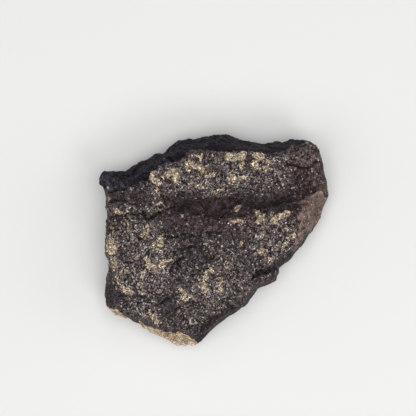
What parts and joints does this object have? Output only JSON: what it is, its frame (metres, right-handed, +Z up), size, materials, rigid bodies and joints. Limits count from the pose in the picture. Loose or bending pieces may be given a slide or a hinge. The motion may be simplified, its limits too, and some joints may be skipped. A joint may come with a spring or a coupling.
{
  "type": "chondrite meteorite",
  "caption": "Angular flattened stony meteorite with a broken speckled upper face, a dark crusted back edge and underside, and a small flat spot to rest on",
  "frame": {"origin": "on the surface the stone rests on, under the middle of its bounding box", "axes": "+Z is up out of the broken upper face and is the shortest way through the stone, +X runs along its length towards the bright brown facet, and +Y points to the dark crusted back edge"},
  "size_m": [0.0619, 0.0576, 0.0203],
  "materials": {
    "chondrite": "matte"
  },
  "bodies": {
    "root": {"meteorite": "chondrite"}
  },
  "joints": []
}
